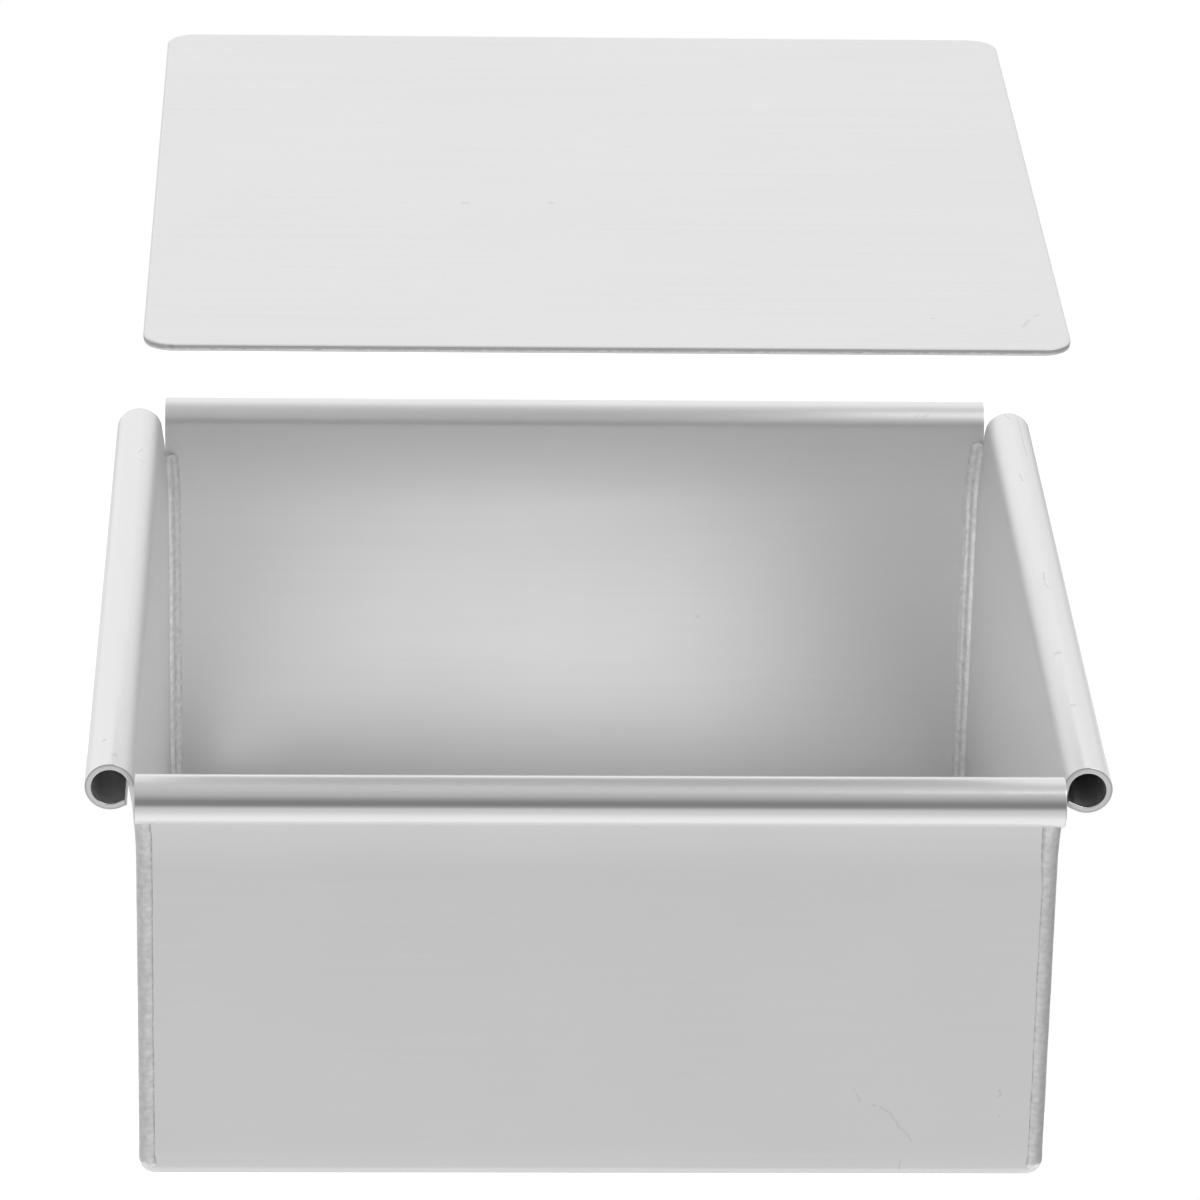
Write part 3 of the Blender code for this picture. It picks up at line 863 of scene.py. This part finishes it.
def table_glow_and_painted_light(tree):
    """How brightly the table glows: white outside the pan, with painted light under the feet of the front
    welds;
    inside it, painted shade along the walls, painted light in the back left corner and a painted pool where
    light comes in.
    """
    place = tree.node("ShaderNodeTexCoord").outputs["Object"]
    at = tree.node("ShaderNodeSeparateXYZ", {0: place}).outputs
    behind = tree.math("MAXIMUM", at["Y"], 0.0)
    aslant = tree.math("ADD", at["X"], tree.math("MULTIPLY", behind, POOL_SLANT))
    # a painted pool of light inside the pan, between painted shade along its walls and painted light in its
    # back left corner
    pool = tree.math("MULTIPLY", tree.spread(at["X"], *POOL_RIGHT, 1.0, 0.0, smooth=True),
                     tree.spread(aslant, *POOL_LEFT, 0.0, 1.0, smooth=True))
    pool = tree.math("MULTIPLY", pool, tree.spread(at["Y"], *POOL_BACK, 1.0, 0.0, smooth=True))
    core = tree.spread(at["Y"], *POOL_FRONT, PAINTED_POOL_FRONT, PAINTED_POOL, smooth=True)
    corner = tree.math("MULTIPLY", tree.spread(at["X"], *CORNER_SIDE, PAINTED_CORNER_LIGHT, 0.0, smooth=True),
                       tree.spread(at["Y"], *CORNER_BACK, 0.0, 1.0, smooth=True))
    edge = tree.math("ADD", PAINTED_SHADE_INSIDE, corner)
    inside = tree.math("ADD", edge, tree.math("MULTIPLY", pool, tree.math("SUBTRACT", core, edge)))
    span = tree.math("MAXIMUM", tree.math("ABSOLUTE", at["X"]), tree.math("ABSOLUTE", at["Y"]))
    outside = tree.math("GREATER_THAN", span, FACE_OUT - BEND_RADIUS)
    seen = tree.math("MULTIPLY", tree.node("ShaderNodeLightPath").outputs["Is Camera Ray"], TABLE_SHOWN)
    # painted light on the table beside the feet of the front welds
    feet = tree.spread(tree.math("ABSOLUTE", at["X"]), *FEET_SIDE, 0.0, PAINTED_FEET_LIGHT)
    feet = tree.math("MULTIPLY", feet, tree.math("LESS_THAN", at["Y"], BEND_RADIUS - FACE_OUT))
    level = tree.math("ADD", feet, TABLE_OUTSIDE)
    pale = tree.math("MULTIPLY", outside, tree.math("ADD", seen, level))
    return tree.math("MAXIMUM", pale, tree.math("MULTIPLY", tree.math("SUBTRACT", 1.0, outside), inside))


def table_top():
    """A white table, as narrow as the pan beside it and wide behind it, that keeps the pan's shadow. Its
    glow holds painted light and shade, which the metal mirrors.
    """
    narrow, wide = 0.080, 0.300
    front, step, back = -0.0785, 0.090, 0.300
    below = -0.0002
    mesh = bpy.data.meshes.new("table")
    corners = [(-narrow, front), (narrow, front), (narrow, step), (wide, step), (wide, back), (-wide, back),
               (-wide, step), (-narrow, step)]
    mesh.from_pydata([(x, y, below) for x, y in corners], [], [tuple(range(len(corners)))])
    table = bpy.data.objects.new("table", mesh)
    bpy.context.scene.collection.objects.link(table)
    material = bpy.data.materials.new("white_table")
    material.use_nodes = True
    material.node_tree.nodes.clear()
    tree = Tree(material.node_tree)
    # the glow's strength carries painted light and shade as well as the table's white
    glow = tree.node("ShaderNodeEmission", {"Color": (1, 1, 1, 1), "Strength": table_glow_and_painted_light(tree)}).outputs[0]
    grey = (TABLE_PAINT, TABLE_PAINT, TABLE_PAINT, 1)
    paint = tree.node("ShaderNodeBsdfDiffuse", {"Color": grey}).outputs[0]
    both = tree.node("ShaderNodeAddShader", {0: glow, 1: paint}).outputs[0]
    tree.node("ShaderNodeOutputMaterial", {"Surface": both})
    mesh.materials.append(material)


def lamp(name, place, target, size, power):
    """A soft square lamp."""
    data = bpy.data.lights.new(name, "AREA")
    data.shape = "SQUARE"
    data.size = size
    data.energy = power
    obj = bpy.data.objects.new(name, data)
    bpy.context.scene.collection.objects.link(obj)
    obj.location = place
    obj.rotation_euler = (Vector(target) - Vector(place)).to_track_quat("-Z", "Y").to_euler()


def camera():
    """The photograph's viewpoint."""
    yaw, pitch, roll = (math.radians(angle) for angle in (CAMERA_YAW, CAMERA_PITCH, CAMERA_ROLL))
    ahead = Vector((math.sin(yaw) * math.cos(pitch), math.cos(yaw) * math.cos(pitch), -math.sin(pitch)))
    level_right = Vector((math.cos(yaw), -math.sin(yaw), 0.0))
    level_down = ahead.cross(level_right)
    right = math.cos(roll) * level_right + math.sin(roll) * level_down
    up = math.sin(roll) * level_right - math.cos(roll) * level_down
    data = bpy.data.cameras.new("camera")
    data.lens = CAMERA_LENS
    data.sensor_width = CAMERA_SENSOR
    data.clip_start = 0.05
    data.clip_end = 20.0
    obj = bpy.data.objects.new("camera", data)
    bpy.context.scene.collection.objects.link(obj)
    turned = Matrix((right, up, -ahead)).transposed().to_4x4()
    obj.matrix_world = Matrix.Translation(CAMERA_PLACE) @ turned
    bpy.context.scene.camera = obj


def dress_walls(group):
    """The four wall sheets."""
    between = FACE_IN - GAP / math.cos(LEAN)
    lengthways = aluminium("satin_lengthways", (18.0, 1500.0, 1500.0), 0.42, marks=WALL_MARKS,
                           finish=wall_finish("YX", FACE_OUT - WAVE_ROOM))
    crossways = aluminium("satin_crossways", (1500.0, 18.0, 1500.0), 0.42, marks=SIDE_MARKS,
                          finish=wall_finish("XY", between + LEAN_OUT - WAVE_ROOM))
    walls = (
        ("sheet_front", "wall_front", FACE_OUT, 0, CLOSED_LIP, 0.0, 0, 1.3, lengthways),
        ("sheet_right", "wall_right", between, 1, CLOSED_LIP, 0.0, 90, 4.1, crossways),
        ("sheet_back", "wall_back", FACE_OUT, 0, CLOSED_LIP, BACK_TRIM, 180, 7.7, lengthways),
        ("sheet_left", "wall_left", between, 1, OPEN_LIP, 0.0, 270, 9.2, crossways),
    )
    for name, node, half_length, end_lean, lip, trim, turn, seed, material in walls:
        mesh = wall_sheet(half_length, end_lean, lip, trim, turn, seed, group, material)
        outward(mesh)
        piece(name, mesh, "shell", node)


def dress_welds(group):
    """The four corner beads."""
    material = aluminium("weld_bead", (700.0, 700.0, 120.0), 0.40, bright=0.95, cloud_size=900.0,
                         cloud_depth=0.18, line_depth=0.06, relief=0.00003, marks=WELD_MARKS,
                         finish=weld_finish)
    beads = (
        ("bead_front_right", "corner_weld_front_right", 0, 2.0, 0.0008, 0.0),
        ("bead_back_right", "corner_weld_back_right", 90, 5.0, 0.0, 0.0031),
        ("bead_back_left", "corner_weld_back_left", 180, 8.0, 0.0, 0.0),
        ("bead_front_left", "corner_weld_front_left", 270, 11.0, 0.0002, 0.0),
    )
    for name, node, turn, seed, flare, taller in beads:
        values = {"Height": WELD_TOP + taller, "Levels": WELD_LEVELS, "Lower end": WELD_END_LOW,
                  "Upper end": WELD_END_HIGH, "Ripple pitch": RIPPLE_PITCH, "Ripple height": RIPPLE_HEIGHT,
                  "Unevenness": WELD_LUMPS, "Edge wander": WELD_WANDER, "Upper flare": flare,
                  "Foot drop": DROP_PROUD, "Seed": seed, "Material": material}
        mesh = bead_mesh(turn, values, group)
        outward(mesh)
        piece(name, mesh, "shell", node)


def dress_base():
    """The loose base."""
    mesh = base_mesh()
    material = aluminium("satin_base", (12.0, 1100.0, 1100.0), 0.32, bright=0.88, grain_depth=0.04,
                         marks=BASE_MARKS, finish=base_finish)
    mesh.materials.append(material)
    piece("base_plate", mesh, "base", "loose_base")


camera()
studio_light()
table_top()
lamp("soft_lamp", LAMP_PLACE, LAMP_TARGET, LAMP_SIZE, LAMP_POWER)
bpy.context.scene.view_settings.view_transform = "Standard"

dress_walls(sheet_tree())
dress_welds(bead_tree())
dress_base()
